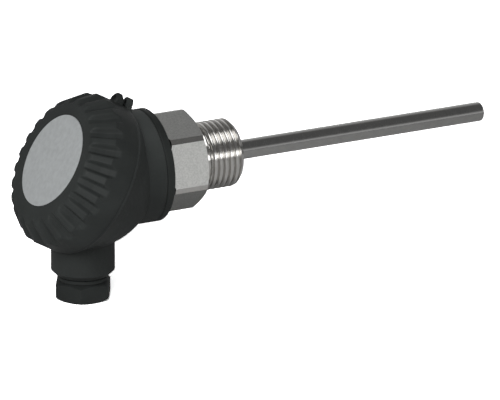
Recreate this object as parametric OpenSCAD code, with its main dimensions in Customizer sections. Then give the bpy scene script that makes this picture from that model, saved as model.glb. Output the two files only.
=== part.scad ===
// Insertion resistance thermometer with a screw-cap connection head.
// Millimetres. The origin is the centre of the nipple's sealing shoulder,
// +X runs down the probe to its tip, +Z is up and the cable gland hangs down.

/* [Probe] */
// Length of the sheath beyond the sealing shoulder
insertion_l = 100; // [40:5:300]
// Outer diameter of the sheath
sheath_d = 6; // [5:0.5:8]
// Wall of the sheath
sheath_wall = 0.5; // [0.3:0.1:0.8]
// Thickness of the sheath's closed end
tip_t = 1; // [0.5:0.1:2]
// Radius of the closed end's edge
tip_r = 1; // [0.4:0.2:2]
// Step from the sheath in to its seat in the nipple
seat_step = 0.25; // [0.05:0.05:0.3]
// Length of the sheath held inside the nipple, behind the shoulder
sheath_back_l = 6; // [4:1:10]
// Length of the sensing element in the tip
element_l = 15; // [8:1:25]
// Gap between the sensing element and the sheath
element_gap = 0.9; // [0.2:0.1:1.4]
// Length of the resin plug at the sheath's open end
potting_l = 4; // [2:0.5:5]
// Diameter of each lead wire
wire_d = 0.8; // [0.5:0.1:1]
// Distance between the two lead wires inside the insulator
wire_gap = 2.5; // [2:0.1:2.6]

/* [Process nipple] */
// Width across the flats of the hexagon
hex_af = 27; // [24:1:32]
// Length of the hexagon
hex_l = 13; // [8:0.5:20]
// Diameter to which the hexagon's corners are turned
hex_turned_d = 30.2; // [28:0.1:36]
// Diameter of the process thread over its crests
thread_d = 20.955; // [18:0.005:26]
// Length of the threaded end
thread_l = 14; // [10:0.5:20]
// Length of the plain run-out next to the shoulder
runout_l = 2.4; // [1:0.2:4]
// Diameter of the threaded spigot that enters the head
spigot_d = 20; // [16:0.5:22]
// Diameter of the wire passage in the spigot
passage_d = 10; // [9:0.5:12]
// Length of the spigot that stands out of the lock nut
spigot_proud = 1; // [0.5:0.5:3]
// Radial chamfer on the hexagon's turned corners
hex_chamfer = 2.3; // [1:0.1:2.6]
// Chamfer on the end of the thread
thread_chamfer = 1; // [0.5:0.1:1.5]
// Depth of the shoulder's relief inside the sealing ring
relief_t = 0.3; // [0.1:0.1:0.6]
// Width of the sealing ring, from the relief out to the chamfer
sealing_w = 1.8; // [1:0.1:2.2]
// Depth of the run-out below the thread's crests
runout_depth = 0.55; // [0.3:0.05:0.8]
// Turn of the hexagon about the probe, from a flat on top
hex_turn = -11.6; // [-30:0.2:30]

/* [Neck] */
// Outer diameter of the neck and of its ring
neck_d = 34.6; // [32:0.2:38]
// Thickness of the ring between the neck and the hexagon
ring_t = 2.5; // [1.5:0.5:4]
// Distance from the ring to the centre of the head
neck_reach = 20.5; // [19.5:0.5:30]
// Thickness of the neck's floor, which the lock nut clamps
neck_floor_t = 4.1; // [3:0.1:5]
// Wall of the lock nut between the spigot and a flat
lock_wall = 2; // [1.5:0.1:2.4]
// Thickness of the lock nut
lock_t = 3; // [2:0.5:4]
// Room around the lock nut's corners for a socket
lock_room = 0.7; // [0.3:0.1:1]

/* [Head] */
// Step from the flange's edge in to the ball
body_inset = 1.6; // [1:0.1:2.4]
// Wall of the ball
body_wall = 2.8; // [2:0.2:3.4]
// Step from the cap's band in to the flange below it
flange_step = 0.3; // [0.1:0.1:0.8]
// Height of the flange's straight edge
flange_h = 1; // [0.5:0.1:2]
// Angle of the cap's axis above the horizontal
cap_tilt = 30; // [25:1:35]
// Distance from the head's centre down to the seam under the cap
seam_drop = 1.9; // [1.5:0.1:3]
// Gap of the seam between the cap and the flange
seam_gap = 0.3; // [0.3:0.1:0.6]
// Wall of the mouth
mouth_wall = 2.3; // [2:0.1:3]
// Length of the mouth above the flange
mouth_h = 5.8; // [4:0.1:6.4]

/* [Cap] */
// Outer diameter of the cap's smooth band
cap_d = 48.6; // [48:0.2:54]
// Wall of the band, outside the thread
cap_wall = 3.1; // [2.4:0.1:3.6]
// Height of the cap's flat face above the head's centre
face_h = 12; // [11:0.5:16]
// Height of the top of the band above the head's centre
band_h = 4.9; // [4:0.1:6]
// Angle between the ribbed cone and the cap's axis
cone_a = 30.5; // [25:0.5:35]
// Number of grip ribs
rib_n = 24; // [16:2:32]
// Radius of each rib
rib_r = 2.2; // [1.6:0.1:2.6]
// Height of each rib above the groove beside it
rib_h = 1.3; // [0.6:0.1:1.8]
// Wall of the cap's top
cap_top_t = 2.4; // [1.6:0.2:3.4]
// Height of the straight throat above the sealing ring
cap_throat_h = 2.5; // [1:0.1:3]
// Thickness of the sealing ring in the cap
gasket_t = 1.4; // [1:0.1:2]
// Diameter of the label
label_d = 30; // [20:1:34]
// Thickness of the label
label_t = 0.3; // [0.2:0.1:0.6]

/* [Sealing lugs] */
// Width of each lug
lug_w = 5; // [4:0.5:7]
// Thickness of each lug
lug_t = 2.6; // [2:0.2:3.4]
// Height of each lug above the cap's band
lug_h = 2.9; // [2.7:0.1:5]
// Diameter of the hole for the sealing wire
lug_hole_d = 1.6; // [1:0.2:2]
// Width of the lug's rim outside that hole
lug_rim = 1; // [0.8:0.1:1.2]
// Height of the cap's lug above the cap's lower edge
cap_lug_rise = 0.9; // [0:0.1:2]
// Depth of the head's lug below the flange's upper face
head_lug_drop = 0.1; // [0:0.1:0.5]

/* [Cable gland] */
// Outer diameter of the gland boss
boss_d = 19.4; // [18.4:0.2:24]
// Distance from the head's centre to the end of the boss
boss_l = 31; // [30:0.5:40]
// Chamfer on the end of the boss
boss_chamfer = 1.5; // [0.5:0.1:2]
// Thread diameter of the gland nut
nut_thread_d = 14.24; // [13:0.02:15]
// Width across the flats of the gland nut
nut_af = 16; // [15:0.5:20]
// Length of the gland nut's hexagon
nut_hex_l = 6; // [4:0.5:10]
// Length of the gland nut's thread
nut_thread_l = 4.8; // [4:0.2:6]
// Gap between the boss and the gland nut's hexagon
nut_gap = 1.6; // [1:0.2:3]
// Diameter of the cable that the grommet grips
cable_d = 5.5; // [4:0.5:7]
// Length of the rubber grommet
grommet_l = 4.5; // [3:0.5:5]
// Thickness of the pressure washer
washer_t = 0.8; // [0.5:0.1:1.2]

/* [Terminals] */
// Diameter of the ceramic terminal base
base_d = 28.4; // [28:0.2:32]
// Thickness of the terminal base
base_t = 4; // [3:0.5:4.5]
// Depth of the base's upper face below the head's centre
base_drop = 1.5; // [1:0.5:3]
// Diameter of the wire hole in the base
base_hole_d = 8.4; // [7.6:0.2:9]
// Height of the barrier between the terminal blocks
barrier_h = 4; // [2:0.2:5]
// Width of that barrier
barrier_w = 1.6; // [1:0.1:2]
// Distance between the two mounting screws
mount_gap = 22.4; // [21:0.2:23]
// Grip of each mounting screw in the head, below the base
mount_grip = 4; // [3:0.5:5]
// Length of each terminal block
block_l = 8; // [7.4:0.2:8.4]
// Width of each terminal block
block_w = 5.8; // [5:0.2:6.2]
// Height of each terminal block
block_h = 5.2; // [5:0.1:5.8]
// Distance between the middles of the two terminal blocks
block_gap = 8.4; // [8:0.2:9.4]
// Width of the wire tunnel through each block
tunnel_w = 3.2; // [2.8:0.1:4]
// Height of that tunnel
tunnel_h = 3; // [2.6:0.1:3.2]
// Thickness of the brass below the tunnel
tunnel_floor_t = 0.6; // [0.4:0.1:0.8]
// Thickness of the brass behind the tunnel
tunnel_back_t = 2.2; // [1.8:0.1:2.6]
// Depth of the lead's hole in the back of the block
lead_depth = 1.5; // [1:0.1:1.7]
// Length of each clamp plate
plate_l = 3; // [2.4:0.1:4]
// Thickness of each clamp plate
plate_t = 0.6; // [0.4:0.1:0.8]
// Diameter of the clamp and mounting screws
screw_d = 3; // [2.5:0.1:3.2]
// Diameter of a clamp screw's head
clamp_head_d = 4.8; // [4:0.1:5.4]
// Height of a clamp screw's head
clamp_head_h = 1.3; // [1.2:0.1:2]
// Diameter of a mounting screw's head
mount_head_d = 5.4; // [4.8:0.1:6]
// Height of a mounting screw's head
mount_head_h = 1.8; // [1.4:0.1:2.2]
// Width and depth of each screw's slot
slot_w = 0.8; // [0.5:0.1:1]
// Travel of each clamp screw
clamp_travel = 1.2; // [1:0.1:1.8]

/* [Hidden] */
$fn = 64;

// Clearances: a turned fit, pieces joined for good, and pieces that only pass
fit = 0.08;
seat = 0.02;
pass = 0.3;
// How far a cut or a root runs past the face that it meets, and a joint's overlap
over = 1;
eps = 0.01;
// Broken edge on the moulded pieces
edge = 0.4;

black_plastic = [0.13, 0.135, 0.14];
black_rubber = [0.06, 0.06, 0.065];
stainless = [0.72, 0.72, 0.70];
label_silver = [0.66, 0.67, 0.68];
ceramic = [0.90, 0.88, 0.82];
brass = [0.80, 0.66, 0.36];
tinned_wire = [0.85, 0.85, 0.86];
potting_resin = [0.16, 0.12, 0.10];

// Places along the probe
neck_face_x = -hex_l - ring_t;
head_x = neck_face_x - neck_reach;
sheath_seat_r = sheath_d / 2 - seat_step;
sheath_in_r = sheath_d / 2 - sheath_wall;
element_end_x = insertion_l - tip_t;
element_x = element_end_x - element_l;

// The cap's band, and the ball and mouth below it, seen from the head's centre
cap_r = cap_d / 2;
cap_bore_r = cap_r - cap_wall;
mouth_r = cap_bore_r - fit;
cavity_mouth_r = mouth_r - mouth_wall;
flange_r = cap_r - flange_step;
body_r = flange_r - body_inset;
cavity_r = body_r - body_wall;
flange_z = -seam_drop - seam_gap;
mouth_top_z = flange_z + mouth_h;
lug_reach = cap_r + lug_h;

// The lock nut's seat in the neck
lock_af = spigot_d + 2 * lock_wall;
lock_corner_r = lock_af / 2 / cos(30);
neck_floor_x = neck_reach - neck_floor_t;
spigot_back_x = neck_face_x - neck_floor_t - lock_t - spigot_proud;

// The cap's inside and its grooves
gasket_top_z = mouth_top_z + gasket_t;
face_r = cap_r - (face_h - band_h) * tan(cone_a);
groove_inset = rib_h / cos(cone_a);
cap_ceiling_z = face_h - cap_top_t;

// The cable gland, measured down from the head's centre
nut_hex_top = boss_l + nut_gap;
nut_top = nut_hex_top - nut_thread_l;
washer_top = nut_top - washer_t;
grommet_top = washer_top - grommet_l;
gland_bore_r = nut_thread_d / 2 + fit;
gland_part_r = gland_bore_r - pass;
cable_r = cable_d / 2;

// The terminals, in the cap's frame: x away from the gland, z out of the mouth
base_top_z = -base_drop;
base_bottom_z = base_top_z - base_t;
block_x = -sqrt(pow(base_d / 2, 2) - pow(block_gap / 2 + block_w / 2, 2));
block_end_x = block_x + block_l;
tunnel_floor_z = base_top_z + tunnel_floor_t;
tunnel_l = block_l - tunnel_back_t;
tunnel_roof_z = tunnel_floor_z + tunnel_h;
clamp_x = block_x + tunnel_l / 2;
lead_z = tunnel_floor_z + 0.45 * tunnel_h;
// Where a clamp plate and its screw's tip meet, just under the tunnel's roof
plate_top_z = tunnel_roof_z - 0.05;

// Points along a quarter turn of radius r about [cx, cy], from a0 to a1
function arc(cx, cy, r, a0, a1, steps = 5) =
    [for (i = [0:steps]) let (a = a0 + (a1 - a0) * i / steps) [cx + r * cos(a), cy + r * sin(a)]];

// From the cap's frame to the whole model's
function from_cap(p) = [
    head_x + p[0] * sin(cap_tilt) - p[2] * cos(cap_tilt),
    p[1],
    p[0] * cos(cap_tilt) + p[2] * sin(cap_tilt),
];

// z runs along the probe to its tip
module probe_axis() rotate([0, 90, 0]) children();

// z runs out through the cap's face, x towards the sealing lugs
module cap_axis() translate([head_x, 0, 0]) rotate([0, cap_tilt - 90, 0]) children();

// z runs down through the cable gland
module gland_axis() translate([head_x, 0, 0]) rotate([180, 0, 0]) children();

// A path with each corner rounded over a length of k on both sides
function rounded_path(p, k, steps = 4) = concat(
    [p[0]],
    [
        for (i = [1:len(p) - 2])
            let (
                a = p[i] - k * (p[i] - p[i - 1]) / norm(p[i] - p[i - 1]),
                b = p[i] + k * (p[i + 1] - p[i]) / norm(p[i + 1] - p[i])
            )
            for (j = [0:steps])
                let (t = j / steps) (1 - t) * (1 - t) * a + 2 * t * (1 - t) * p[i] + t * t * b
    ],
    [p[len(p) - 1]]
);

// A round wire of radius r along a path that never runs along Y
module wire(path, r, sides = 12) {
    n = len(path);
    rings = [
        for (i = [0:n - 1])
            let (
                ahead = path[min(i + 1, n - 1)] - path[max(i - 1, 0)],
                t = ahead / norm(ahead),
                across = cross(t, [0, 1, 0]),
                u = across / norm(across),
                v = cross(t, u)
            )
            for (k = [0:sides - 1])
                path[i] + r * (cos(360 * k / sides) * u + sin(360 * k / sides) * v)
    ];
    walls = [
        for (i = [0:n - 2])
            for (k = [0:sides - 1])
                let (next = (k + 1) % sides)
                each [
                    [i * sides + k, i * sides + next, (i + 1) * sides + next],
                    [i * sides + k, (i + 1) * sides + next, (i + 1) * sides + k],
                ]
    ];
    start = [for (k = [sides - 1:-1:0]) k];
    end = [for (k = [0:sides - 1]) (n - 1) * sides + k];
    polyhedron(rings, concat(walls, [start, end]));
}

// A hexagon with its corners turned off: r at the corners, chamfers of c at the two ends
module turned_hex(af, h, turned_r, low_chamfer, high_chamfer) {
    intersection() {
        cylinder(r = af / 2 / cos(30), h = h, $fn = 6);
        rotate_extrude() polygon([
            [0, 0],
            [turned_r - low_chamfer[0], 0],
            [turned_r, low_chamfer[1]],
            [turned_r, h - high_chamfer[1]],
            [turned_r - high_chamfer[0], h],
            [0, h],
        ]);
    }
}

// ---------------------------------------------------------------- head

// A ball of radius r, cut off flat at z
module cut_ball(r, z) {
    difference() {
        sphere(r = r);
        translate([0, 0, z]) cylinder(r = r + over, h = 2 * r);
    }
}

// The ball with its flange and its mouth, filled
module filled_ball() {
    // The flange's cone leaves the ball at this angle below its middle
    root_a = 36;
    root_r = body_r - edge;
    cut_ball(body_r, flange_z);
    rotate_extrude() polygon([
        [0, -root_r * sin(root_a)],
        [root_r * cos(root_a), -root_r * sin(root_a)],
        [flange_r, flange_z - flange_h],
        [flange_r, flange_z],
        [mouth_r, flange_z],
        [mouth_r, mouth_top_z],
        [0, mouth_top_z],
    ]);
}

// The space inside the head
module cavity() {
    cut_ball(cavity_r, flange_z - over);
    translate([0, 0, flange_z - 2 * over]) cylinder(r = cavity_mouth_r, h = mouth_h + 3 * over);
}

// A lug with a hole for a sealing wire, its underside at z = 0
module lug() {
    root_x = cap_bore_r + over / 2;
    tip_x = lug_reach - lug_w / 2;
    linear_extrude(lug_t) difference() {
        union() {
            translate([root_x, -lug_w / 2]) square([tip_x - root_x, lug_w]);
            translate([tip_x, 0]) circle(d = lug_w);
        }
        translate([lug_reach - lug_rim - lug_hole_d / 2, 0]) circle(d = lug_hole_d);
    }
}

// The two shelves that carry the terminal base
module shelves() {
    shelf_w = 2 * screw_d;
    shelf_h = mount_grip + body_wall / 2;
    shelf_in = mount_gap / 2 - screw_d;
    intersection() {
        sphere(r = body_r - body_wall / 3);
        for (side = [-1, 1])
            translate([-shelf_w / 2, side > 0 ? shelf_in : -body_r, base_bottom_z - shelf_h])
                cube([shelf_w, body_r - shelf_in, shelf_h]);
    }
}

// The neck and the gland boss, from the middle of the ball's wall outwards
module branches() {
    difference() {
        union() {
            neck();
            gland_axis() boss();
        }
        cap_axis() {
            sphere(r = body_r - body_wall / 2);
            translate([0, 0, flange_z]) cylinder(r = cap_d, h = cap_d);
        }
    }
}

module housing() {
    color(black_plastic) difference() {
        union() {
            cap_axis() rotate([0, 0, 135]) difference() {
                filled_ball();
                cavity();
            }
            branches();
            cap_axis() translate([0, 0, flange_z - head_lug_drop - lug_t]) lug();
            cap_axis() shelves();
        }
        translate([head_x, 0, 0]) probe_axis() {
            cylinder(d = spigot_d + 2 * pass, h = neck_reach + over);
            translate([0, 0, neck_reach]) cylinder(d = neck_d, h = body_r);
            translate([0, 0, neck_floor_x - lock_t - 1.5 * over])
                cylinder(r = lock_corner_r + lock_room, h = lock_t + 1.5 * over);
        }
        gland_axis() {
            cylinder(r = cable_r + 1.5 * over, h = boss_l);
            translate([0, 0, grommet_top]) cylinder(r = gland_bore_r, h = boss_l);
        }
        cap_axis() mounting_holes(screw_d / 2 + seat, base_bottom_z - mount_grip - over);
    }
}

// The neck, a plain cylinder with a chamfered end
module neck() {
    translate([head_x, 0, 0]) probe_axis() rotate_extrude() polygon([
        [0, neck_reach / 2],
        [neck_d / 2, neck_reach / 2],
        [neck_d / 2, neck_reach - edge],
        [neck_d / 2 - edge, neck_reach],
        [0, neck_reach],
    ]);
}

// The boss for the cable gland
module boss() {
    rotate_extrude() polygon([
        [0, cavity_r / 2],
        [boss_d / 2, cavity_r / 2],
        [boss_d / 2, boss_l - boss_chamfer],
        [boss_d / 2 - boss_chamfer, boss_l],
        [0, boss_l],
    ]);
}

// Two holes of radius r from z up through the terminal base
module mounting_holes(r, z) {
    for (side = [-1, 1])
        translate([0, side * mount_gap / 2, z]) cylinder(r = r, h = base_top_z - z + over, $fn = 32);
}

// ---------------------------------------------------------------- cap

// Half section of the cap at the bottom of its grooves, filled
module cap_section() {
    corner_r = 3 * edge;
    corner_a = 90 - cone_a;
    run = corner_r * tan(corner_a / 2);
    floor_r = face_r - groove_inset;
    polygon(concat(
        [
            [0, -seam_drop],
            [cap_r - edge, -seam_drop],
            [cap_r, edge - seam_drop],
            [cap_r, band_h],
            [cap_r - groove_inset, band_h],
        ],
        arc(floor_r - run, face_h - corner_r, corner_r, cone_a, 90),
        [[0, face_h]]
    ));
}

// Half section of the space under the cap
module cap_hollow_section() {
    shoulder_z = gasket_top_z + cap_throat_h;
    polygon([
        [0, -seam_drop - over],
        [cap_bore_r, -seam_drop - over],
        [cap_bore_r, gasket_top_z],
        [cavity_mouth_r, gasket_top_z],
        [cavity_mouth_r, shoulder_z],
        [cavity_mouth_r - (cap_ceiling_z - shoulder_z), cap_ceiling_z],
        [0, cap_ceiling_z],
    ]);
}

// The ribs lie along the cone with their crests on it, and start under the face
module ribs() {
    axis_r = cap_r - rib_r * cos(cone_a);
    axis_z = band_h - rib_r * sin(cone_a);
    // The foot stays clear of the band, and the round top of the face
    foot = 0.15;
    top_gap = 0.05;
    rib_l = (face_h - top_gap - rib_r - axis_z) / cos(cone_a);
    pitch = 360 / rib_n;
    for (i = [0:rib_n - 1])
        rotate([0, 0, (i + 0.5) * pitch])
            translate([axis_r, 0, axis_z])
                rotate([0, -cone_a, 0])
                    rotate_extrude($fn = 32)
                        polygon(concat([[0, foot], [rib_r, foot]], arc(0, rib_l, rib_r, 0, 90, 4)));
}

module cap() {
    color(black_plastic) cap_axis() difference() {
        union() {
            rotate_extrude() cap_section();
            ribs();
            translate([0, 0, cap_lug_rise - seam_drop]) lug();
        }
        rotate_extrude() cap_hollow_section();
    }
}

module cap_gasket() {
    color(black_rubber) cap_axis() translate([0, 0, mouth_top_z]) difference() {
        cylinder(r = cap_bore_r - pass, h = gasket_t - seat);
        translate([0, 0, -over]) cylinder(r = cavity_mouth_r + edge / 2, h = gasket_t + 2 * over);
    }
}

module label() {
    color(label_silver) cap_axis() translate([0, 0, face_h]) cylinder(d = label_d, h = label_t);
}

// ---------------------------------------------------------------- cable gland

module gland_nut() {
    bore_r = cable_r + 2 * pass;
    low_chamfer = [1.5 * edge, 0.75 * edge];
    high_chamfer = [4 * edge, 3.2 * edge];
    color(black_plastic) gland_axis() difference() {
        union() {
            translate([0, 0, nut_top]) cylinder(d = nut_thread_d, h = nut_thread_l + eps);
            translate([0, 0, nut_hex_top])
                turned_hex(nut_af, nut_hex_l, nut_af / 2 / cos(30), low_chamfer, high_chamfer);
        }
        translate([0, 0, nut_top - over]) cylinder(r = bore_r, h = nut_thread_l + nut_hex_l + 2 * over);
        translate([0, 0, nut_hex_top + nut_hex_l - over])
            cylinder(r1 = bore_r, r2 = bore_r + over + eps, h = over + eps);
    }
}

module gland_washer() {
    color(stainless) gland_axis() translate([0, 0, washer_top]) difference() {
        cylinder(r = gland_part_r, h = washer_t);
        translate([0, 0, -over]) cylinder(r = cable_r + pass, h = washer_t + 2 * over);
    }
}

module gland_grommet() {
    color(black_rubber) gland_axis() translate([0, 0, grommet_top]) difference() {
        cylinder(r = gland_part_r, h = grommet_l);
        translate([0, 0, -over]) cylinder(r = cable_r, h = grommet_l + 2 * over);
    }
}

// ---------------------------------------------------------------- nipple and neck

module neck_ring() {
    color(black_plastic) translate([neck_face_x, 0, 0]) probe_axis() difference() {
        rotate_extrude() polygon([
            [0, 0],
            [neck_d / 2 - edge, 0],
            [neck_d / 2, edge],
            [neck_d / 2, ring_t - edge],
            [neck_d / 2 - edge, ring_t],
            [0, ring_t],
        ]);
        translate([0, 0, -over]) cylinder(d = spigot_d + 2 * pass, h = ring_t + 2 * over);
    }
}

module hex_nipple() {
    chamfer = [hex_chamfer, hex_chamfer * tan(30)];
    thread_r = thread_d / 2;
    runout_r = thread_r - runout_depth;
    color(stainless) probe_axis() difference() {
        union() {
            translate([0, 0, -hex_l])
                rotate([0, 0, hex_turn]) turned_hex(hex_af, hex_l, hex_turned_d / 2, chamfer, chamfer);
            rotate_extrude() polygon([
                [0, -over],
                [runout_r, -over],
                [runout_r, runout_l - runout_depth],
                [thread_r, runout_l],
                [thread_r, thread_l - thread_chamfer],
                [thread_r - thread_chamfer, thread_l],
                [0, thread_l],
            ]);
            translate([0, 0, spigot_back_x]) cylinder(d = spigot_d, h = -hex_l - spigot_back_x + over);
        }
        translate([0, 0, spigot_back_x - over]) cylinder(d = passage_d, h = over - spigot_back_x);
        cylinder(r = sheath_seat_r + seat, h = thread_l + over);
        // The relief keeps what lies on the shoulder clear of the thread
        translate([0, 0, -relief_t]) difference() {
            cylinder(r = hex_turned_d / 2 - hex_chamfer - sealing_w, h = relief_t + over);
            translate([0, 0, -over]) cylinder(r = runout_r, h = relief_t + 3 * over);
        }
    }
}

module lock_nut() {
    floor_x = head_x + neck_floor_x;
    corner_w = lock_corner_r - lock_af / 2;
    color(stainless) translate([floor_x - lock_t, 0, 0]) probe_axis() difference() {
        turned_hex(lock_af, lock_t, lock_corner_r, [corner_w, corner_w * tan(30)], [edge / 2, edge / 4]);
        translate([0, 0, -over]) cylinder(d = spigot_d + 2 * seat, h = lock_t + 2 * over);
    }
}

// ---------------------------------------------------------------- probe

module sheath_tube() {
    r = sheath_d / 2;
    seat_end = thread_l + pass;
    color(stainless) probe_axis() rotate_extrude() polygon(concat(
        [
            [sheath_in_r, -sheath_back_l],
            [sheath_seat_r, -sheath_back_l],
            [sheath_seat_r, seat_end],
            [r, seat_end + seat_step],
        ],
        arc(r - tip_r, insertion_l - tip_r, tip_r, 0, 90),
        [[0, insertion_l], [0, element_end_x], [sheath_in_r, element_end_x]]
    ));
}

module sensor_element() {
    color(ceramic) translate([element_x, 0, 0]) probe_axis() cylinder(r = sheath_in_r - element_gap, h = element_l);
}

// A round piece in the sheath with two wire holes
module drilled_core(from_x, to_x) {
    translate([from_x, 0, 0]) probe_axis() difference() {
        cylinder(r = sheath_in_r - seat, h = to_x - from_x);
        for (side = [-1, 1])
            translate([0, side * wire_gap / 2, -over])
                cylinder(d = wire_d + 2 * seat, h = to_x - from_x + 2 * over, $fn = 24);
    }
}

module wire_insulator() color(ceramic) drilled_core(potting_l - sheath_back_l, element_x);

module potting_plug() color(potting_resin) drilled_core(-sheath_back_l, potting_l - sheath_back_l);

// A lead runs from the element up through the base and into its terminal block
module lead_wire(side) {
    rise_x = block_end_x + base_hole_d * 0.3;
    rise_y = base_hole_d * 0.31;
    color(tinned_wire) wire(
        rounded_path([
            [element_x, side * wire_gap / 2, 0],
            [-sheath_back_l - 2 * over, side * wire_gap / 2, 0],
            from_cap([rise_x, side * rise_y, lead_z]),
            from_cap([block_end_x + over, side * block_gap / 2, lead_z]),
            from_cap([block_end_x - lead_depth + edge / 4, side * block_gap / 2, lead_z]),
        ], over),
        wire_d / 2
    );
}

module lead_wire_1() lead_wire(-1);

module lead_wire_2() lead_wire(1);

// ---------------------------------------------------------------- terminals

module terminal_base() {
    color(ceramic) cap_axis() difference() {
        union() {
            translate([0, 0, base_bottom_z]) cylinder(d = base_d, h = base_t);
            translate([block_x, -barrier_w / 2, base_top_z - eps]) cube([block_l, barrier_w, barrier_h]);
        }
        translate([0, 0, base_bottom_z - over]) cylinder(d = base_hole_d, h = base_t + 2 * over);
        mounting_holes(screw_d / 2 + pass / 2, base_bottom_z - over);
    }
}

// A brass block with a wire tunnel, a threaded hole above it and a lead hole behind
module terminal_block(side) {
    y = side * block_gap / 2;
    color(brass) cap_axis() difference() {
        translate([block_x, y - block_w / 2, base_top_z]) cube([block_l, block_w, block_h]);
        translate([block_x - over, y - tunnel_w / 2, tunnel_floor_z])
            cube([tunnel_l + over, tunnel_w, tunnel_h]);
        translate([clamp_x, y, tunnel_roof_z - over]) cylinder(d = screw_d + fit, h = block_h, $fn = 32);
        translate([block_end_x - lead_depth, y, lead_z])
            rotate([0, 90, 0]) cylinder(d = wire_d + 2 * seat, h = lead_depth + over, $fn = 24);
    }
}

module terminal_block_1() terminal_block(-1);

module terminal_block_2() terminal_block(1);

// A slotted screw with its tip at z = 0
module slotted_screw(shank_l, head_d, head_h) {
    difference() {
        union() {
            cylinder(d = screw_d, h = shank_l + eps, $fn = 32);
            translate([0, 0, shank_l]) cylinder(d = head_d, h = head_h, $fn = 32);
        }
        translate([-head_d, -slot_w / 2, shank_l + head_h - slot_w]) cube([2 * head_d, slot_w, slot_w + over]);
    }
}

module clamp_screw(side) {
    // The head ends its travel just above the block
    shank_l = base_top_z + block_h + clamp_travel + 0.1 - plate_top_z;
    color(stainless) cap_axis() translate([clamp_x, side * block_gap / 2, plate_top_z])
        slotted_screw(shank_l, clamp_head_d, clamp_head_h);
}

module clamp_screw_1() clamp_screw(-1);

module clamp_screw_2() clamp_screw(1);

// The plate under a clamp screw's tip
module clamp_plate(side) {
    plate_w = tunnel_w - 0.2;
    color(stainless) cap_axis()
        translate([clamp_x - plate_l / 2, side * block_gap / 2 - plate_w / 2, plate_top_z - plate_t])
            cube([plate_l, plate_w, plate_t]);
}

module clamp_plate_1() clamp_plate(-1);

module clamp_plate_2() clamp_plate(1);

module mounting_screw(side) {
    shank_l = base_t + mount_grip;
    color(stainless) cap_axis() translate([0, side * mount_gap / 2, base_top_z - shank_l])
        slotted_screw(shank_l, mount_head_d, mount_head_h);
}

module mounting_screw_1() mounting_screw(-1);

module mounting_screw_2() mounting_screw(1);

housing();
cap();
cap_gasket();
label();
gland_nut();
gland_washer();
gland_grommet();
neck_ring();
hex_nipple();
lock_nut();
sheath_tube();
sensor_element();
wire_insulator();
potting_plug();
lead_wire_1();
lead_wire_2();
terminal_base();
terminal_block_1();
terminal_block_2();
clamp_screw_1();
clamp_screw_2();
clamp_plate_1();
clamp_plate_2();
mounting_screw_1();
mounting_screw_2();
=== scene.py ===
"""Looks of an insertion temperature probe with a screw-cap connection head.

The new pieces are built round the probe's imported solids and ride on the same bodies.
"""

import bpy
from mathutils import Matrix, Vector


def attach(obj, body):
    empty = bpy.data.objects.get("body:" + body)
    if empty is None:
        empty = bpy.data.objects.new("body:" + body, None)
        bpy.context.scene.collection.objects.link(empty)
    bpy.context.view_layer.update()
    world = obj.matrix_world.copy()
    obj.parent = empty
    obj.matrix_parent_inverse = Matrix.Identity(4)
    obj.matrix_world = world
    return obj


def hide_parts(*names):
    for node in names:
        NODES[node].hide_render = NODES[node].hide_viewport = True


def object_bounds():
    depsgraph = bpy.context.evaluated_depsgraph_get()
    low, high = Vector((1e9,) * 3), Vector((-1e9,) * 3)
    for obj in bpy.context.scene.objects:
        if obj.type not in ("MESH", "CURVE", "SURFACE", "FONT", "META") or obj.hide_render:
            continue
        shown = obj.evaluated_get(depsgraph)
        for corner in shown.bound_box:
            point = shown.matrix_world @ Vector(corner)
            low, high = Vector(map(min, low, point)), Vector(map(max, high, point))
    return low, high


bl_info = {
    "name": "Temperature probe looks",
    "version": (1, 0, 0),
    "blender": (4, 5, 0),
    "location": "View3D > Sidebar > Probe",
    "description": "Dresses the probe's solids with moulded, turned and threaded detail",
    "category": "Object",
}

import math

import bmesh
import bpy
from bpy.props import FloatProperty, FloatVectorProperty, IntProperty, PointerProperty
from mathutils import Matrix, Vector

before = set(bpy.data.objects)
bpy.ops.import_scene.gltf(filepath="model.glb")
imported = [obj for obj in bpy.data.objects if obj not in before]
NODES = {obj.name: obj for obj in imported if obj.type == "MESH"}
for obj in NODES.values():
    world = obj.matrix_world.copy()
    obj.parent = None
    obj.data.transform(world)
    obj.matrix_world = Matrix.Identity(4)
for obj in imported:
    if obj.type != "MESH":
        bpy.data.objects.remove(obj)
CAD_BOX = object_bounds()

MM = 0.001
# Places closer than this are the same place
NEAR = 1e-6
# Doubles that spinning a section leaves are closer than this
SEAM = 1e-7

# Each piece is modelled round Z and then laid on its own axis. Z runs out through the cap's
# face, along the probe to its tip, or down out of the gland.
HEAD_X = -36 * MM
CAP_TILT = math.radians(30)
CAP_AXES = Matrix.Translation((HEAD_X, 0, 0)) @ Matrix.Rotation(CAP_TILT - math.pi / 2, 4, "Y")
PROBE_AXES = Matrix.Rotation(math.pi / 2, 4, "Y")
GLAND_AXES = Matrix.Translation((HEAD_X, 0, 0)) @ Matrix.Rotation(math.pi, 4, "X")


# ---------------------------------------------------------------- properties


class CapSizes(bpy.types.PropertyGroup):
    """Sizes of the cap's moulded detail"""

    rib_count: IntProperty(
        name="Ribs", description="Number of grip ribs", default=24, min=8, max=40,
    )
    groove_depth: FloatProperty(
        name="Groove depth", description="Depth of the grooves between the ribs",
        default=1.6 * MM, precision=5, unit="LENGTH",
    )
    groove_turn: FloatProperty(
        name="Groove turn", description="Turn of the grooves from the lug",
        default=math.radians(0.2), subtype="ANGLE",
    )
    corner_radius: FloatProperty(
        name="Corner radius", description="Radius between the ribbed cone and the face",
        default=2.9 * MM, precision=5, unit="LENGTH",
    )


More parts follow.
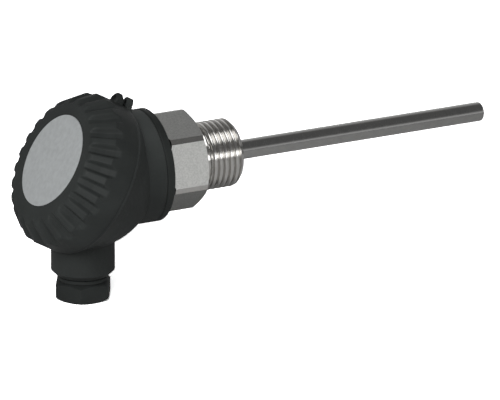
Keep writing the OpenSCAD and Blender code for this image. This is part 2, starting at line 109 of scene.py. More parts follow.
class NippleSizes(bpy.types.PropertyGroup):
    """Sizes of the nipple's thread"""

    pitch: FloatProperty(
        name="Pitch", description="Pitch of the pipe thread",
        default=1.814 * MM, precision=6, unit="LENGTH",
    )
    depth: FloatProperty(
        name="Thread depth", description="Height of the thread's crests over its roots",
        default=0.8 * MM, precision=6, unit="LENGTH",
    )


class FinishColours(bpy.types.PropertyGroup):
    """Colours of the finishes"""

    plastic: FloatVectorProperty(
        name="Plastic", description="Moulded black plastic",
        subtype="COLOR", size=3, default=(0.0296, 0.0328, 0.0319),
    )
    steel: FloatVectorProperty(
        name="Steel", description="Turned stainless steel",
        subtype="COLOR", size=3, default=(0.60, 0.59, 0.57),
    )
    sheath: FloatVectorProperty(
        name="Sheath", description="Dull drawn stainless tube",
        subtype="COLOR", size=3, default=(0.40, 0.398, 0.39),
    )
    hexagon: FloatVectorProperty(
        name="Hexagon", description="Flats of the hexagon",
        subtype="COLOR", size=3, default=(0.455, 0.458, 0.445),
    )
    label: FloatVectorProperty(
        name="Label", description="Matt silver foil",
        subtype="COLOR", size=3, default=(0.59, 0.615, 0.62),
    )
    rubber: FloatVectorProperty(
        name="Rubber", description="Seals",
        subtype="COLOR", size=3, default=(0.015, 0.015, 0.016),
    )
    ceramic: FloatVectorProperty(
        name="Ceramic", description="Terminal base and insulator",
        subtype="COLOR", size=3, default=(0.80, 0.77, 0.69),
    )
    brass: FloatVectorProperty(
        name="Brass", description="Terminal blocks",
        subtype="COLOR", size=3, default=(0.78, 0.60, 0.30),
    )
    wire: FloatVectorProperty(
        name="Wire", description="Tinned copper leads",
        subtype="COLOR", size=3, default=(0.75, 0.75, 0.76),
    )
    resin: FloatVectorProperty(
        name="Resin", description="Potting resin",
        subtype="COLOR", size=3, default=(0.05, 0.035, 0.025),
    )


class StageSizes(bpy.types.PropertyGroup):
    """The studio round the part"""

    low_room: FloatProperty(
        name="Low room", description="Brightness of the room at and below eye level", default=0.95,
    )
    high_room: FloatProperty(
        name="High room", description="Brightness of the room above the front", default=0.19,
    )
    left_share: FloatProperty(
        name="Left share", description="Share of the room's light on the left", default=0.5,
    )
    back_room: FloatProperty(
        name="Back room", description="Brightness of the backdrop", default=1.0,
    )
    floor_grey: FloatProperty(
        name="Floor grey", description="Light given back by the floor", default=1.0,
    )
    top_light: FloatProperty(
        name="Top light", description="Power of the softbox above", default=1.8, unit="POWER",
    )
    head_light: FloatProperty(
        name="Head light", description="Power of the softbox left of the head",
        default=0.8, unit="POWER",
    )
    neck_light: FloatProperty(
        name="Neck light", description="Power of the softbox over the neck",
        default=1.1, unit="POWER",
    )
    front_light: FloatProperty(
        name="Front light", description="Power of the softbox before the hexagon",
        default=0.035, unit="POWER",
    )
    lamp_light: FloatProperty(
        name="Lamp light", description="Power of the long lamp before the thread",
        default=1.4, unit="POWER",
    )
    high_light: FloatProperty(
        name="High light", description="Power of the long lamp above the thread",
        default=2.2, unit="POWER",
    )
    camera_distance: FloatProperty(
        name="Camera distance", description="Distance from the sealing shoulder",
        default=2.6, unit="LENGTH",
    )


# ---------------------------------------------------------------- materials

# The finishes operator fills this, and the pieces take their materials from it
FINISHES = {}


def new_material(name, colour, roughness, metallic=0.0, specular=0.5):
    """A Principled material, with its node tree and its shader."""
    material = bpy.data.materials.new(name)
    material.use_nodes = True
    tree = material.node_tree
    shader = tree.nodes["Principled BSDF"]
    shader.inputs["Base Color"].default_value = (*colour, 1)
    shader.inputs["Roughness"].default_value = roughness
    shader.inputs["Metallic"].default_value = metallic
    shader.inputs["Specular IOR Level"].default_value = specular
    return material, tree, shader


def object_noise(tree, scale, stretch=(1, 1, 1), detail=3.0, roughness=0.5):
    """Noise on Object coordinates, stretched along the object's axes."""
    place = tree.nodes.new("ShaderNodeTexCoord")
    mapping = tree.nodes.new("ShaderNodeMapping")
    mapping.inputs["Scale"].default_value = stretch
    noise = tree.nodes.new("ShaderNodeTexNoise")
    noise.inputs["Scale"].default_value = scale
    noise.inputs["Detail"].default_value = detail
    noise.inputs["Roughness"].default_value = roughness
    tree.links.new(place.outputs["Object"], mapping.inputs["Vector"])
    tree.links.new(mapping.outputs["Vector"], noise.inputs["Vector"])
    return noise.outputs["Fac"]


def ramp(tree, source, low, high, low_value, high_value):
    """Source spread from low..high to low_value..high_value."""
    spread = tree.nodes.new("ShaderNodeMapRange")
    spread.inputs["From Min"].default_value = low
    spread.inputs["From Max"].default_value = high
    spread.inputs["To Min"].default_value = low_value
    spread.inputs["To Max"].default_value = high_value
    tree.links.new(source, spread.inputs["Value"])
    return spread.outputs["Result"]


def product(tree, first, second):
    """The two sources multiplied."""
    node = tree.nodes.new("ShaderNodeMath")
    node.operation = "MULTIPLY"
    tree.links.new(first, node.inputs[0])
    tree.links.new(second, node.inputs[1])
    return node.outputs[0]


def mottle_colour(tree, shader, source, colour, dark, light, low=0.3, high=0.7):
    """The base colour runs from its dark share to its light share as the source rises."""
    mix = tree.nodes.new("ShaderNodeMix")
    mix.data_type = "RGBA"
    # Inputs 6 and 7 of a Mix node are its two colours, and output 2 is the colour between them
    mix.inputs[6].default_value = (*(c * dark for c in colour), 1)
    mix.inputs[7].default_value = (*(min(1, c * light) for c in colour), 1)
    tree.links.new(ramp(tree, source, low, high, 0, 1), mix.inputs[0])
    tree.links.new(mix.outputs[2], shader.inputs["Base Color"])


def mottle_gloss(tree, shader, source, roughness, less, more):
    """The roughness runs from less below its value to more above it as the source rises."""
    spread = ramp(tree, source, 0.3, 0.7, roughness - less, roughness + more)
    tree.links.new(spread, shader.inputs["Roughness"])


def grain_surface(tree, shader, source, height, strength):
    """The surface stands up to height proud where the source is high."""
    node = tree.nodes.new("ShaderNodeBump")
    node.inputs["Strength"].default_value = strength
    node.inputs["Distance"].default_value = height
    tree.links.new(source, node.inputs["Height"])
    tree.links.new(node.outputs["Normal"], shader.inputs["Normal"])


def plastic_finish(name, colour):
    """Moulded plastic with a fine spark-eroded grain and faint cloudiness."""
    roughness = 0.55
    material, tree, shader = new_material(name, colour, roughness, specular=0.12)
    grain = object_noise(tree, scale=3800, detail=2)
    cloud = object_noise(tree, scale=90, detail=4)
    grain_surface(tree, shader, grain, height=0.03 * MM, strength=0.5)
    mottle_colour(tree, shader, cloud, colour, dark=0.88, light=1.14)
    mottle_gloss(tree, shader, cloud, roughness, less=0.04, more=0.05)
    return material


def turned_steel_finish(name, colour, roughness, line_height=0.001 * MM):
    """Stainless steel with tool lines round the probe's axis, and uneven brightness."""
    material, tree, shader = new_material(name, colour, roughness, metallic=1.0)
    across, around = 3000, 20
    tool_lines = object_noise(tree, scale=1, stretch=(across, around, around), detail=3)
    speckle = object_noise(tree, scale=500, detail=3, roughness=0.7)
    grain_surface(tree, shader, tool_lines, line_height, strength=1.0)
    mottle_colour(tree, shader, speckle, colour, dark=0.9, light=1, low=0.35)
    mottle_gloss(tree, shader, speckle, roughness, less=0.03, more=0.04)
    return material


def milled_steel_finish(name, colour):
    """Stainless steel with a rough, speckled skin."""
    material, tree, shader = new_material(name, colour, 0.34, metallic=1.0)
    speckle = object_noise(tree, scale=2200, detail=2, roughness=0.6)
    grain_surface(tree, shader, speckle, height=0.05 * MM, strength=0.8)
    mottle_colour(tree, shader, speckle, colour, dark=0.88, light=1.12, low=0.35, high=0.65)
    return material


def plain_finish(name, colour, roughness, metallic=0.0):
    """A finish with a small uneven grain in its colour, roughness and surface."""
    material, tree, shader = new_material(name, colour, roughness, metallic)
    grain = object_noise(tree, scale=700, detail=4)
    grain_surface(tree, shader, grain, height=0.01 * MM, strength=0.6)
    mottle_colour(tree, shader, grain, colour, dark=0.9, light=1.05)
    mottle_gloss(tree, shader, grain, roughness, less=0.05, more=0.05)
    return material


# ---------------------------------------------------------------- modelling


def held(value):
    """The value, held between 0 and 1."""
    return min(1, max(0, value))


def soft_step(x, softness):
    """x where it is positive and nothing where it is negative, with a soft corner."""
    return 0.5 * (x + math.sqrt(x * x + softness * softness))


def arc_points(cx, cz, r, a0, a1, steps):
    """Points on an arc, angles in degrees from the radial direction."""
    return [
        (cx + r * math.cos(math.radians(a0 + (a1 - a0) * i / steps)),
         cz + r * math.sin(math.radians(a0 + (a1 - a0) * i / steps)))
        for i in range(steps + 1)
    ]


def straight_points(p, q, steps):
    """Points from p to q, without p."""
    return [
        (p[0] + (q[0] - p[0]) * i / steps, p[1] + (q[1] - p[1]) * i / steps)
        for i in range(1, steps + 1)
    ]


def spin_section(
    bm, section, steps, closed=False, dvec=(0, 0, 0), angle=2 * math.pi, merge=True,
):
    """Spin a half section, (radius, height) in metres, round Z."""
    verts = [bm.verts.new((r, 0, z)) for r, z in section]
    pairs = list(zip(verts, verts[1:]))
    if closed:
        pairs.append((verts[-1], verts[0]))
    edges = [bm.edges.new(pair) for pair in pairs]
    bmesh.ops.spin(
        bm, geom=verts + edges, cent=(0, 0, 0), axis=(0, 0, 1), dvec=dvec, angle=angle,
        steps=steps, use_merge=merge, use_duplicate=False,
    )


def set_radius(vert, radius):
    """Move a vertex to a radius from Z, at its own height and angle."""
    scale = radius / math.hypot(vert.co.x, vert.co.y)
    vert.co.x *= scale
    vert.co.y *= scale


def cut_off(bm, place, outwards, near):
    """Cut away what lies beyond a plane, and leave the cut open."""
    bmesh.ops.bisect_plane(
        bm, geom=bm.verts[:] + bm.edges[:] + bm.faces[:], dist=near, plane_co=place,
        plane_no=outwards, clear_outer=True,
    )


def open_edges(bm, height):
    """Open edges that lie at a height."""
    return [
        e for e in bm.edges
        if e.is_boundary and all(abs(v.co.z - height) < NEAR for v in e.verts)
    ]


def extrude_open(bm, edges):
    """Extrude open edges: the new vertices, and the new open edges."""
    grown = bmesh.ops.extrude_edge_only(bm, edges=edges)["geom"]
    verts = [v for v in grown if isinstance(v, bmesh.types.BMVert)]
    return verts, [e for e in grown if isinstance(e, bmesh.types.BMEdge) and e.is_boundary]


def threaded_stud(
    bm, crest_r, root_r, pitch, start, end, bore_r, relief_r, relief_to, chamfer, phase=0.0,
):
    """A bored stud along Z with a right-hand thread.

    It has a plain relief at its start, a chamfered end, and low crests with a wide round on top.
    """
    crown_r, crown_half, foot_share = 0.72 * pitch, 20, 0.03
    steps_per_turn, turns_before = 120, 1.5
    run_in, relief_slope = 1.4 * pitch, 0.3 * MM

    top = arc_points(crest_r - crown_r, pitch / 2, crown_r, -crown_half, crown_half, 8)
    section = [(root_r, -foot_share * pitch), (root_r, foot_share * pitch)]
    section += straight_points(section[-1], top[0], 4)[:-1] + top
    section += straight_points(top[-1], (root_r, (1 - foot_share) * pitch), 4)
    section = [(r, z + start - pitch * turns_before + phase) for r, z in section]
    turns = math.ceil((end - start) / pitch) + 2
    steps = steps_per_turn * turns
    spin_section(
        bm, section, steps, dvec=(0, 0, turns * pitch / steps), angle=turns * 2 * math.pi,
        merge=False,
    )
    bmesh.ops.remove_doubles(bm, verts=bm.verts, dist=2 * NEAR)
    for height, side in ((start, -1), (end, 1)):
        cut_off(bm, (0, 0, height), (0, 0, side), near=SEAM)

    for vert in bm.verts:
        r, z = math.hypot(vert.co.x, vert.co.y), vert.co.z
        lowest = relief_r + (root_r - relief_r) * held((z - relief_to) / run_in)
        past_relief = relief_r + max(0, z - relief_to + relief_slope)
        highest = min(crest_r, past_relief, crest_r - (z - end + chamfer))
        set_radius(vert, max(min(r, highest), min(lowest, highest)))

    rim, foot = open_edges(bm, end), open_edges(bm, start)
    mouth, lip = extrude_open(bm, rim)
    for vert in mouth:
        set_radius(vert, bore_r)
    far_end, back = extrude_open(bm, lip)
    for vert in far_end:
        vert.co.z = start
    bmesh.ops.bridge_loops(bm, edges=back + foot)


def finish_piece(bm, name, axes, finishes, body, replaced=(), sharp=35):
    """Close a bmesh's doubles, lay it on its axes and hand it to its body.

    Edges that turn by more than sharp degrees stay sharp.
    """
    bmesh.ops.remove_doubles(bm, verts=bm.verts, dist=SEAM)
    bmesh.ops.recalc_face_normals(bm, faces=bm.faces)
    for face in bm.faces:
        face.smooth = True
    for edge in bm.edges:
        edge.smooth = edge.calc_face_angle(0) < math.radians(sharp)
    mesh = bpy.data.meshes.new(name)
    bm.to_mesh(mesh)
    bm.free()
    mesh.transform(axes)
    for finish in finishes:
        mesh.materials.append(FINISHES[finish])
    piece = bpy.data.objects.new(name, mesh)
    bpy.context.scene.collection.objects.link(piece)
    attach(piece, body)
    if replaced:
        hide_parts(*replaced)


# ---------------------------------------------------------------- pieces


class PROBE_OT_finishes(bpy.types.Operator):
    """Make the finishes and put them on the solids"""

    bl_idname = "probe.finishes"
    bl_label = "Finishes"

    dressed = {
        "plastic": ["housing", "cap", "gland_nut", "neck_ring"],
        "steel": [
            "hex_nipple", "lock_nut", "gland_washer", "clamp_screw_1", "clamp_screw_2",
            "clamp_plate_1", "clamp_plate_2", "mounting_screw_1", "mounting_screw_2",
        ],
        "sheath": ["sheath_tube"],
        "label": ["label"],
        "rubber": ["cap_gasket", "gland_grommet"],
        "ceramic": ["sensor_element", "wire_insulator", "terminal_base"],
        "brass": ["terminal_block_1", "terminal_block_2"],
        "wire": ["lead_wire_1", "lead_wire_2"],
        "resin": ["potting_plug"],
    }

    def execute(self, context):
        colours = context.scene.probe_finish
        FINISHES.update({
            "plastic": plastic_finish("moulded_black", colours.plastic),
            "steel": turned_steel_finish("turned_stainless", colours.steel, 0.22),
            "sheath": turned_steel_finish("drawn_stainless", colours.sheath, 0.2),
            "hexagon": milled_steel_finish("milled_stainless", colours.hexagon),
            "thread": turned_steel_finish(
                "threaded_stainless", colours.steel, 0.17, line_height=0.0001 * MM
            ),
            "label": plain_finish("silver_foil", colours.label, 0.5, metallic=0.2),
            "rubber": plain_finish("black_rubber", colours.rubber, 0.6),
            "ceramic": plain_finish("white_ceramic", colours.ceramic, 0.5),
            "brass": plain_finish("machined_brass", colours.brass, 0.25, metallic=1.0),
            "wire": plain_finish("tinned_wire", colours.wire, 0.3, metallic=1.0),
            "resin": plain_finish("potting_resin", colours.resin, 0.2),
        })
        for finish, names in self.dressed.items():
            for name in names:
                slots = NODES[name].data.materials
                slots.clear()
                slots.append(FINISHES[finish])
        return {"FINISHED"}


class PROBE_OT_housing(bpy.types.Operator):
    """Model the head's housing with a slim tapered lug"""

    bl_idname = "probe.housing"
    bl_label = "Housing"

    def execute(self, context):
        lug_top, lug_foot, lug_root, lug_half = -2.3 * MM, -5 * MM, 24.1 * MM, 2.6 * MM
        width_share, height_share = 0.72, 0.75
        rise, rise_length = 0.4, 0.8 * MM
        bm = bmesh.new()
        bm.from_mesh(NODES["housing"].data)
        bmesh.ops.remove_doubles(bm, verts=bm.verts, dist=NEAR)
        bmesh.ops.transform(bm, matrix=CAP_AXES.inverted(), verts=bm.verts)
        for vert in bm.verts:
            x, y, z = vert.co
            if x > lug_root and abs(y) < lug_half and lug_foot < z < lug_top + NEAR:
                vert.co.y *= width_share
                vert.co.z = (
                    lug_top + height_share * (z - lug_top)
                    + rise * min(rise_length, max(0, x - lug_root))
                )
        finish_piece(
            bm, "housing_shell", CAP_AXES, ["plastic"], "probe", ["housing"],
            sharp=25,
        )
        return {"FINISHED"}


# The cap's outline: the plain band and its foot, where the grooves begin, the top of the
# band, and the sharp corner that the cone and the face would meet at
FOOT_Z, PLAIN_Z = -2.12 * MM, 3.2 * MM
BAND_R, BAND_Z = 24.3 * MM, 6.2 * MM
FACE_R, FACE_Z = 20.03 * MM, 12 * MM
CONE = math.atan((BAND_R - FACE_R) / (FACE_Z - BAND_Z))
OUT_OF_CONE = (math.cos(CONE), math.sin(CONE))


class PROBE_OT_cap(bpy.types.Operator):
    """Model the ribbed screw cap and its sealing lug"""

    bl_idname = "probe.cap"
    bl_label = "Ribbed cap"

    def execute(self, context):
        sizes = context.scene.probe_cap
        bm = bmesh.new()
        steps_per_rib = 20
        section = self.section(sizes.corner_radius)
        spin_section(bm, section, sizes.rib_count * steps_per_rib)
        bmesh.ops.remove_doubles(bm, verts=bm.verts, dist=SEAM)
        self.cut_grooves(bm, sizes)
        finish_piece(
            bm, "cap_shell", CAP_AXES, ["plastic"], "cap", ["cap"], sharp=40
        )
        self.lug()
        return {"FINISHED"}

    def corner_centre(self, radius):
        """Centre of the round between the cone and the face."""
        return FACE_R - radius * math.tan((math.pi / 2 - CONE) / 2), FACE_Z - radius

    def section(self, corner_r):
        """Half section of the cap without its grooves, from the face's centre round to its back."""
        flat_r, face_gap, edge = 9 * MM, 0.4 * MM, 0.2 * MM
        bore_r, bore_z = 21.2 * MM, 5.0 * MM
        throat_r, throat_z = 18.82 * MM, 7.5 * MM
        crown_r, crown_z = 16.72 * MM, 9.6 * MM
        centre = self.corner_centre(corner_r)
        section = [(0, FACE_Z), (flat_r, FACE_Z)]
        section += straight_points(section[-1], (centre[0] - face_gap, FACE_Z), 8)
        section += arc_points(*centre, corner_r, 90, math.degrees(CONE), 12)
        section += straight_points(section[-1], (BAND_R, BAND_Z), 26)
        section += straight_points(section[-1], (BAND_R, PLAIN_Z), 14)
        section += straight_points(section[-1], (BAND_R, FOOT_Z + edge), 2)
        section += arc_points(BAND_R - edge, FOOT_Z + edge, edge, 0, -90, 4)[1:]
        inside = [
            (bore_r, FOOT_Z), (bore_r, bore_z), (throat_r, bore_z), (throat_r, throat_z),
            (crown_r, crown_z), (0, crown_z),
        ]
        for point in inside:
            section += straight_points(section[-1], point, 2)
        return section

    def cut_grooves(self, bm, sizes):
        """Sink the grooves into the cone and the top of the band, and leave the ribs."""
        deepest, inner_r = 2.5 * MM, 17 * MM
        rib_half, flank = 0.36, 0.22  # shares of the ribs' pitch
        fade_z, fade_length, fade_share = 8.5 * MM, 3.5 * MM, 0.3
        softness = 0.12 * MM
        pitch = 2 * math.pi / sizes.rib_count
        corner_r = sizes.corner_radius
        centre = self.corner_centre(corner_r)
        cone_line = BAND_R * OUT_OF_CONE[0] + BAND_Z * OUT_OF_CONE[1]
        for vert in bm.verts:
            r = math.hypot(vert.co.x, vert.co.y)
            z = vert.co.z
            below = cone_line - (r * OUT_OF_CONE[0] + z * OUT_OF_CONE[1])
            if z < PLAIN_Z - NEAR or below > deepest or r < inner_r:
                continue
            if z < BAND_Z - NEAR:
                out = (1, 0)
            elif below < NEAR:
                out = OUT_OF_CONE
            elif z > FACE_Z - NEAR:
                out = (0, 1)
            else:
                out = ((r - centre[0]) / corner_r, (z - centre[1]) / corner_r)
            turn = (math.atan2(vert.co.y, vert.co.x) - sizes.groove_turn) / pitch
            wall = held((rib_half - abs(turn - round(turn))) / flank)
            fade = 1 - fade_share * held((z - fade_z) / fade_length)
            depth = sizes.groove_depth * wall * wall * (3 - 2 * wall) * fade
            depth = soft_step(depth - below, softness) - soft_step(-below, softness)
            move = max(0, depth) / (out[0] * OUT_OF_CONE[0] + out[1] * OUT_OF_CONE[1])
            set_radius(vert, r - move * out[0])
            vert.co.z -= move * out[1]

    def lug(self):
        """A sealing lug with a wire hole, rounded all round and thicker at its foot."""
        low, high, half, edge = -0.1 * MM, 1.9 * MM, 1.9 * MM, 0.6 * MM
        root_x, tip_x = 22 * MM, 25.35 * MM
        hole_x, hole_r, clear_r = 25.4 * MM, 0.8 * MM, 1 * MM
        foot_end, foot_length, foot_up, foot_down = 26.6 * MM, 3 * MM, 0.9 * MM, -1.5 * MM
        middle = (low + high) / 2
        bm = bmesh.new()
        circle = {"cap_ends": False, "segments": 48}
        outline = bmesh.ops.create_circle(bm, radius=half, **circle)["verts"]
        bmesh.ops.translate(bm, verts=outline, vec=(tip_x, 0, low))
        for vert in outline:
            if vert.co.x < tip_x - NEAR:
                vert.co.x += root_x - tip_x
        hole = bmesh.ops.create_circle(bm, radius=hole_r, **circle)["verts"]
        bmesh.ops.translate(bm, verts=hole, vec=(hole_x, 0, low))
        bmesh.ops.bridge_loops(bm, edges=bm.edges[:])
        raised = bmesh.ops.extrude_face_region(bm, geom=bm.faces[:])["geom"]
        raised = [v for v in raised if isinstance(v, bmesh.types.BMVert)]
        bmesh.ops.translate(bm, verts=raised, vec=(0, 0, high - low))
        bmesh.ops.recalc_face_normals(bm, faces=bm.faces)
        rims = [
            e for e in bm.edges
            if abs(e.calc_face_angle(0)) > 1
            and all((v.co - Vector((hole_x, 0, v.co.z))).length > clear_r for v in e.verts)
        ]
        bmesh.ops.bevel(
            bm, geom=rims, offset=edge, segments=4, profile=0.5, affect="EDGES", material=-1
        )
        for vert in bm.verts:
            share = held((foot_end - vert.co.x) / foot_length)
            grow = foot_up if vert.co.z > middle else foot_down
            vert.co.z += share * grow * abs(vert.co.z - middle) / (high - middle)
        finish_piece(bm, "cap_lug", CAP_AXES, ["plastic"], "cap", sharp=50)


class PROBE_OT_label(bpy.types.Operator):
    """Stick the bare foil label on the cap's face"""

    bl_idname = "probe.label"
    bl_label = "Foil label"

    def execute(self, context):
        low, high, radius, edge = FACE_Z, 12.25 * MM, 14.6 * MM, 0.08 * MM
        off_centre = (0.5 * MM, -0.7 * MM, 0)
        section = [(0, high), (radius - 3 * edge, high)]
        section += arc_points(radius - edge, high - edge, edge, 90, 0, 4)
        section += [(radius, low), (0, low)]
        bm = bmesh.new()
        spin_section(bm, section, 128)
        bmesh.ops.translate(bm, verts=bm.verts, vec=off_centre)
        finish_piece(bm, "face_label", CAP_AXES, ["label"], "cap", ["label"])
        return {"FINISHED"}


class PROBE_OT_nipple(bpy.types.Operator):
    """Shape the nipple's hexagon and cut its process thread"""

    bl_idname = "probe.nipple"
    bl_label = "Threaded nipple"

    # Just past the sealing shoulder, where the thread takes over from the hexagon
    cut = 0.2 * MM

    def execute(self, context):
        self.hexagon()
        sizes = context.scene.probe_nipple
        bm = bmesh.new()
        crest_r = 10.4775 * MM
        threaded_stud(
            bm, crest_r=crest_r, root_r=crest_r - sizes.depth, pitch=sizes.pitch, start=self.cut,
            end=14 * MM, bore_r=2.77 * MM, relief_r=9.8 * MM, relief_to=2.6 * MM,
            chamfer=1.5 * MM, phase=0.56 * MM,
        )
        finish_piece(
            bm, "process_thread", PROBE_AXES, ["thread"], "probe", sharp=28
        )
        return {"FINISHED"}

    def hexagon(self):
        """The nipple up to its sealing shoulder, with milled flats and a flat-topped chamfer."""
        chamfer_from, chamfer_r = -1.4 * MM, 12 * MM
        flat_distance, flat_play, upright = 13.5 * MM, 0.05 * MM, 0.01
        bm = bmesh.new()
        bm.from_mesh(NODES["hex_nipple"].data)
        bmesh.ops.remove_doubles(bm, verts=bm.verts, dist=NEAR)
        cut_off(bm, (self.cut, 0, 0), (1, 0, 0), near=1e-8)
        bmesh.ops.bridge_loops(bm, edges=[e for e in bm.edges if e.is_boundary])
        for vert in bm.verts:
            x, r = vert.co.x, math.hypot(vert.co.y, vert.co.z)
            if chamfer_from < x < 0 and r > chamfer_r:
                # Nearly flat beside the shoulder, then steep out to the corners
                vert.co.x = min(0.125 * x, 0.86 * x + 0.294 * MM)
        for face in bm.faces:
            distance = face.normal.dot(face.calc_center_median())
            flat = abs(face.normal.x) < upright and abs(distance - flat_distance) < flat_play
            face.material_index = 0 if flat else 1
        finish_piece(
            bm, "hexagon", Matrix.Identity(4), ["hexagon", "thread"], "probe",
            ["hex_nipple"], sharp=12,
        )


class PROBE_OT_gland(bpy.types.Operator):
    """Model the gland's pressure nut and its thread"""

    bl_idname = "probe.gland"
    bl_label = "Gland nut"

    bore_r = 3.35 * MM
    thread_foot = 32.6 * MM

    def execute(self, context):
        self.head()
        self.thread()
        return {"FINISHED"}

    def head(self):
        """The nut's hexagon, with a round collar and a groove above it."""
        top, foot, bore_edge = 31.3 * MM, 38.6 * MM, 0.6 * MM
        top_r, collar_r, collar_z = 7.5 * MM, 7.85 * MM, (31.6 * MM, 32.4 * MM)
        groove_r, groove_z = 7.3 * MM, (32.7 * MM, 32.95 * MM)
        hex_r, hex_z, foot_r, flat_r = 9.3 * MM, (33.8 * MM, 37.7 * MM), 7.9 * MM, 8 * MM
        corner_sharpness = 70
        section = [(self.bore_r, top), (top_r, top)]
        section += [(collar_r, z) for z in collar_z] + [(groove_r, z) for z in groove_z]
        section += straight_points(section[-1], (hex_r, hex_z[0]), 16)
        section += straight_points(section[-1], (hex_r, hex_z[1]), 8)
        section += straight_points(section[-1], (foot_r, foot), 12)
        section += [(self.bore_r + bore_edge, foot), (self.bore_r, foot - bore_edge)]
        bm = bmesh.new()
        spin_section(bm, section, 360, closed=True)
        for vert in bm.verts:
            r = math.hypot(vert.co.x, vert.co.y)
            if r > groove_r - NEAR:
                turn = (math.atan2(vert.co.y, vert.co.x) - math.pi / 6) / (math.pi / 3)
                flat = flat_r / math.cos((turn - round(turn)) * math.pi / 3)
                both = r ** -corner_sharpness + flat ** -corner_sharpness
                set_radius(vert, both ** (-1 / corner_sharpness))
        finish_piece(
            bm, "gland_hexagon", GLAND_AXES, ["plastic"], "gland_nut",
            ["gland_nut"], sharp=50,
        )

    def thread(self):
        """The nut's thread, inside the boss."""
        bm = bmesh.new()
        threaded_stud(
            bm, crest_r=7.12 * MM, root_r=6.3 * MM, pitch=1.5 * MM,
            start=-self.thread_foot + 0.001 * MM, end=-27.8 * MM, bore_r=self.bore_r,
            relief_r=6.5 * MM, relief_to=-self.thread_foot + 0.6 * MM, chamfer=0.6 * MM,
        )
        half_turn = Matrix.Rotation(math.pi, 3, "X")
        bmesh.ops.rotate(bm, verts=bm.verts, cent=(0, 0, 0), matrix=half_turn)
        finish_piece(
            bm, "gland_thread", GLAND_AXES, ["plastic"], "gland_nut", sharp=35
        )


# ---------------------------------------------------------------- stage


def camera_ray_shader(tree, others, seen):
    """Shader others for every ray but the camera's own, which meets shader seen."""
    path = tree.nodes.new("ShaderNodeLightPath")
    mix = tree.nodes.new("ShaderNodeMixShader")
    tree.links.new(path.outputs["Is Camera Ray"], mix.inputs["Fac"])
    tree.links.new(others.outputs[0], mix.inputs[1])
    tree.links.new(seen.outputs[0], mix.inputs[2])
    return mix.outputs[0]


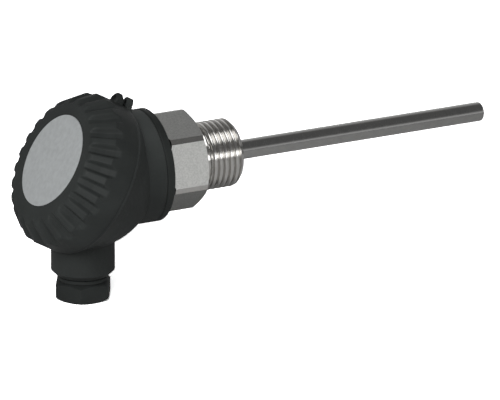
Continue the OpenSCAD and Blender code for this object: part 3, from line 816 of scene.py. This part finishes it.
class PROBE_OT_stage(bpy.types.Operator):
    """Set the floor, the room, the lights and the camera"""

    bl_idname = "probe.stage"
    bl_label = "Stage"

    def execute(self, context):
        scene, sizes = context.scene, context.scene.probe_stage
        scene.view_settings.view_transform = "Standard"
        self.floor(scene, sizes.floor_grey)
        self.room(scene, sizes)
        self.softbox(
            "top_softbox", sizes.top_light, place=(-0.36, -0.33, 0.34), size=(0.30, 0.30),
        )
        self.softbox(
            "head_softbox", sizes.head_light, place=(-0.42, -0.30, 0.28), size=(0.25, 0.25),
            only=["cap_shell", "housing_shell"],
        )
        self.softbox(
            "neck_softbox", sizes.neck_light, place=(0.10, -0.08, 0.55), size=(0.25, 0.25),
            only=["housing_shell"],
        )
        self.softbox(
            "front_softbox", sizes.front_light, place=(0.095, -0.272, 0.015), size=(0.11, 0.11),
            only=["hexagon"],
        )
        self.softbox(
            "front_lamp", sizes.lamp_light, place=(0.42, -0.89, 0.17), size=(0.60, 0.22),
            only=["process_thread"],
        )
        self.softbox(
            "high_lamp", sizes.high_light, place=(0.42, -0.24, 0.88), size=(0.60, 0.42),
            only=["process_thread"],
        )
        self.camera(scene, sizes.camera_distance)
        return {"FINISHED"}

    def floor(self, scene, grey):
        """A round floor just under the gland nut's foot."""
        radius, gap = 6, 0.1 * MM
        bm = bmesh.new()
        bmesh.ops.create_circle(bm, cap_ends=True, segments=96, radius=radius)
        bmesh.ops.translate(bm, verts=bm.verts, vec=(0, 0, CAD_BOX[0][2] - gap))
        mesh = bpy.data.meshes.new("floor")
        bm.to_mesh(mesh)
        bm.free()
        floor = bpy.data.objects.new("floor", mesh)
        scene.collection.objects.link(floor)
        mesh.materials.append(self.floor_material(grey))

    def floor_material(self, grey):
        """White to the camera. In the light it gives back, a painted shade makes it darker under
        the process thread.
        """
        # Painted shade: under the process thread the floor gives back less light, standing in for
        # the part's shadow there
        shown_white, painted_shade_share = 6.5, 0.45
        painted_shade_place, painted_shade_r, pale_r = (9 * MM, 6 * MM, CAD_BOX[0][2]), 12 * MM, 30 * MM
        material = bpy.data.materials.new("pale_floor")
        material.use_nodes = True
        tree = material.node_tree
        tree.nodes.clear()
        out = tree.nodes.new("ShaderNodeOutputMaterial")
        shown = tree.nodes.new("ShaderNodeBsdfDiffuse")
        shown.inputs["Color"].default_value = (shown_white, shown_white, shown_white, 1)
        lit = tree.nodes.new("ShaderNodeBsdfDiffuse")
        place = tree.nodes.new("ShaderNodeTexCoord")
        away = tree.nodes.new("ShaderNodeVectorMath")
        away.operation = "DISTANCE"
        away.inputs[1].default_value = painted_shade_place
        tree.links.new(place.outputs["Object"], away.inputs[0])
        spread = ramp(tree, away.outputs["Value"], painted_shade_r, pale_r, painted_shade_share * grey, grey)
        tree.links.new(spread, lit.inputs["Color"])
        tree.links.new(camera_ray_shader(tree, lit, shown), out.inputs["Surface"])
        return material

    def room(self, scene, sizes):
        """A white backdrop to the camera, and a room that lights the part unevenly."""
        world = bpy.data.worlds.new("studio")
        scene.world = world
        world.use_nodes = True
        tree = world.node_tree
        tree.nodes.clear()
        out = tree.nodes.new("ShaderNodeOutputWorld")
        place = tree.nodes.new("ShaderNodeTexCoord")
        way = tree.nodes.new("ShaderNodeSeparateXYZ")
        tree.links.new(place.outputs["Generated"], way.inputs[0])
        # How far a direction points up, to the right and to the back, from -1 to 1
        level = ramp(tree, way.outputs["Z"], 0.10, 0.38, sizes.low_room, sizes.high_room)
        side = ramp(tree, way.outputs["X"], -0.3, 0.3, sizes.left_share, 1)
        behind = ramp(tree, way.outputs["Y"], 0.25, 0.85, 0, 1)
        behind_right = ramp(tree, way.outputs["X"], 0.15, 0.38, 0.15, 1)
        mixed = tree.nodes.new("ShaderNodeMix")
        tree.links.new(product(tree, behind, behind_right), mixed.inputs[0])
        tree.links.new(product(tree, level, side), mixed.inputs[2])
        mixed.inputs[3].default_value = sizes.back_room
        studio = tree.nodes.new("ShaderNodeBackground")
        tree.links.new(mixed.outputs[0], studio.inputs["Strength"])
        white = tree.nodes.new("ShaderNodeBackground")
        white.inputs["Color"].default_value = (1, 1, 1, 1)
        tree.links.new(camera_ray_shader(tree, studio, white), out.inputs["Surface"])

    def softbox(self, name, power, place, size, only=()):
        """A rectangular light that faces the sealing shoulder, for all pieces or only for some."""
        light = bpy.data.lights.new(name, "AREA")
        light.shape = "RECTANGLE"
        light.size, light.size_y = size
        light.energy = power
        box = bpy.data.objects.new(name, light)
        box.location = place
        box.rotation_euler = Vector(place).to_track_quat("Z", "Y").to_euler()
        box.visible_camera = False
        bpy.context.scene.collection.objects.link(box)
        if only:
            lit = bpy.data.collections.new(name + "_lights")
            for piece in only:
                lit.objects.link(bpy.data.objects[piece])
            box.light_linking.receiver_collection = lit

    def camera(self, scene, distance):
        """A long lens in front of the part, to its left and a little above it."""
        azimuth, elevation = math.radians(-26.2), math.radians(18.8)
        # The view's centre from the sealing shoulder, and how often its width fits in a metre
        aim_right, aim_down, widths_per_metre = 18.3 * MM, 12.79 * MM, 6.6
        back = Vector((
            math.sin(azimuth) * math.cos(elevation),
            -math.cos(azimuth) * math.cos(elevation),
            math.sin(elevation),
        ))
        right = Vector((0, 0, 1)).cross(back).normalized()
        up = back.cross(right)
        target = right * aim_right - up * aim_down
        data = bpy.data.cameras.new("camera")
        data.sensor_width = 36
        data.lens = widths_per_metre * distance * data.sensor_width
        data.clip_end = 20
        camera = bpy.data.objects.new("camera", data)
        scene.collection.objects.link(camera)
        camera.location = back * distance
        camera.rotation_euler = (camera.location - target).to_track_quat("Z", "Y").to_euler()
        scene.camera = camera


# ---------------------------------------------------------------- add-on


class PROBE_PT_panel(bpy.types.Panel):
    """Lists the probe's pieces"""

    bl_idname = "PROBE_PT_panel"
    bl_label = "Temperature probe"
    bl_space_type = "VIEW_3D"
    bl_region_type = "UI"
    bl_category = "Probe"

    def draw(self, context):
        for operator in OPERATORS:
            self.layout.operator(operator.bl_idname)


OPERATORS = (
    PROBE_OT_finishes, PROBE_OT_housing, PROBE_OT_cap, PROBE_OT_label, PROBE_OT_nipple,
    PROBE_OT_gland, PROBE_OT_stage,
)
GROUPS = {
    "probe_cap": CapSizes,
    "probe_nipple": NippleSizes,
    "probe_finish": FinishColours,
    "probe_stage": StageSizes,
}


def register():
    for group in GROUPS.values():
        bpy.utils.register_class(group)
    for name, group in GROUPS.items():
        setattr(bpy.types.Scene, name, PointerProperty(type=group))
    for operator in OPERATORS:
        bpy.utils.register_class(operator)
    bpy.utils.register_class(PROBE_PT_panel)


def unregister():
    bpy.utils.unregister_class(PROBE_PT_panel)
    for operator in reversed(OPERATORS):
        bpy.utils.unregister_class(operator)
    for name in GROUPS:
        delattr(bpy.types.Scene, name)
    for group in GROUPS.values():
        bpy.utils.unregister_class(group)


def main():
    register()
    for operator in OPERATORS:
        prefix, name = operator.bl_idname.split(".")
        getattr(getattr(bpy.ops, prefix), name)()


if __name__ == "__main__":
    main()
